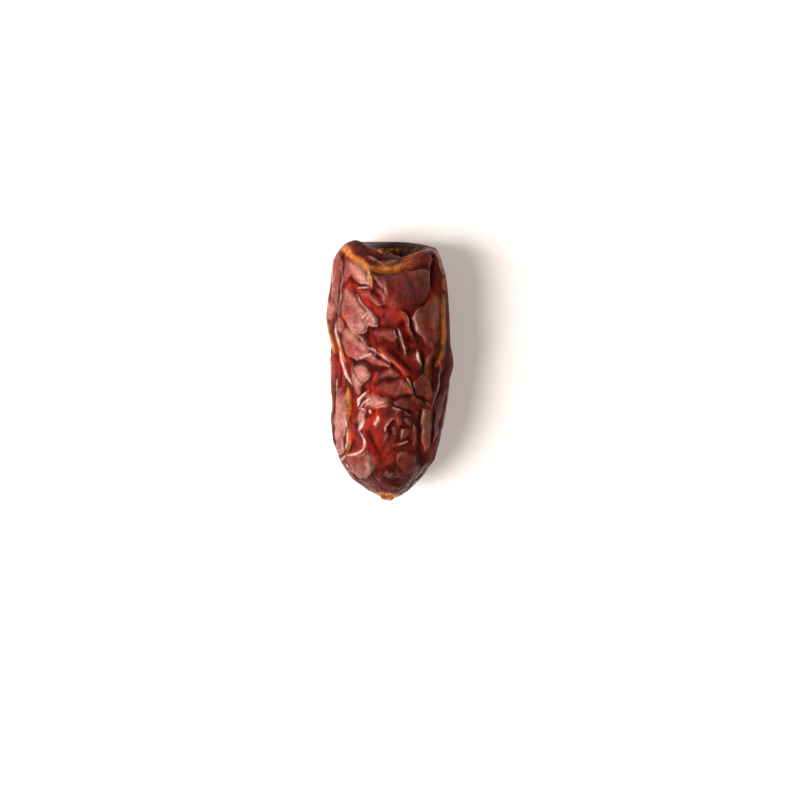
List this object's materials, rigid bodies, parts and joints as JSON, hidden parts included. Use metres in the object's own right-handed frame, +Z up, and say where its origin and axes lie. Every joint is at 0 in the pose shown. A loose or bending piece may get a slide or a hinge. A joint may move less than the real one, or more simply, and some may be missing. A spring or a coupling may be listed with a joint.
{
  "type": "piarom date",
  "caption": "Whole dried piarom date lying on its side: a long folded fruit with a hollow at the stem end, a blunt tip and a small flat spot to rest on.",
  "frame": {"origin": "centre of the bounding box in X and Y, at the level the fruit rests on in Z", "axes": "+Y along the fruit towards the stem end, +Z up from the flat spot, +X to the right as the picture shows it from above"},
  "size_m": [0.0208, 0.0424, 0.0184],
  "materials": {
    "date_skin": "satin"
  },
  "bodies": {
    "root": {"date": "date_skin"}
  },
  "joints": []
}
